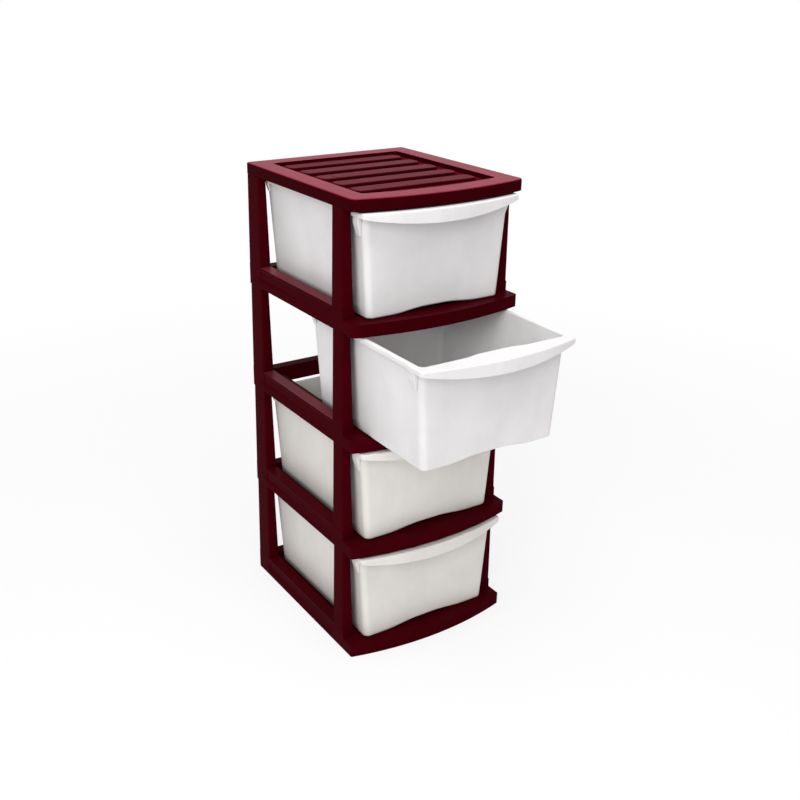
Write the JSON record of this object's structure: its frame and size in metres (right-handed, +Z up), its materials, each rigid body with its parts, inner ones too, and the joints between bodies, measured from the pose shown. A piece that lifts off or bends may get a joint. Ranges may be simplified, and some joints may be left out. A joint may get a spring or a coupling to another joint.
{
  "type": "plastic drawer tower",
  "caption": "Tall narrow storage tower of drafted pull-out tubs in open frames on hollow corner posts, under a slatted top.",
  "frame": {"origin": "on the floor, midway between the frames' rear edge and the corners of their front lip, in the middle of the width", "axes": "+X to the right seen from the front, -Y to the front where the drawers pull out, +Z up"},
  "size_m": [0.33, 0.551, 0.82],
  "materials": {
    "frame_plastic": "gloss",
    "drawer_plastic": "satin"
  },
  "bodies": {
    "tower": {"top_cover": "frame_plastic", "shelf_frame_1": "frame_plastic", "shelf_frame_2": "frame_plastic", "shelf_frame_3": "frame_plastic", "base_frame": "frame_plastic", "post_1_front_left": "frame_plastic", "post_1_front_right": "frame_plastic", "post_1_rear_left": "frame_plastic", "post_1_rear_right": "frame_plastic", "post_2_front_left": "frame_plastic", "post_2_front_right": "frame_plastic", "post_2_rear_left": "frame_plastic", "post_2_rear_right": "frame_plastic", "post_3_front_left": "frame_plastic", "post_3_front_right": "frame_plastic", "post_3_rear_left": "frame_plastic", "post_3_rear_right": "frame_plastic", "post_4_front_left": "frame_plastic", "post_4_front_right": "frame_plastic", "post_4_rear_left": "frame_plastic", "post_4_rear_right": "frame_plastic"},
    "drawer_1": {"drawer_1": "drawer_plastic"},
    "drawer_2": {"drawer_2": "drawer_plastic"},
    "drawer_3": {"drawer_3": "drawer_plastic"},
    "drawer_4": {"drawer_4": "drawer_plastic"}
  },
  "joints": [
    {"name": "drawer_1_slide", "type": "slide", "parent": "tower", "child": "drawer_1", "axis": [0, -1, 0], "range_m": [0, 0.25]},
    {"name": "drawer_2_slide", "type": "slide", "parent": "tower", "child": "drawer_2", "axis": [0, -1, 0], "range_m": [-0.16, 0.09]},
    {"name": "drawer_3_slide", "type": "slide", "parent": "tower", "child": "drawer_3", "axis": [0, -1, 0], "range_m": [0, 0.25]},
    {"name": "drawer_4_slide", "type": "slide", "parent": "tower", "child": "drawer_4", "axis": [0, -1, 0], "range_m": [0, 0.25]}
  ]
}
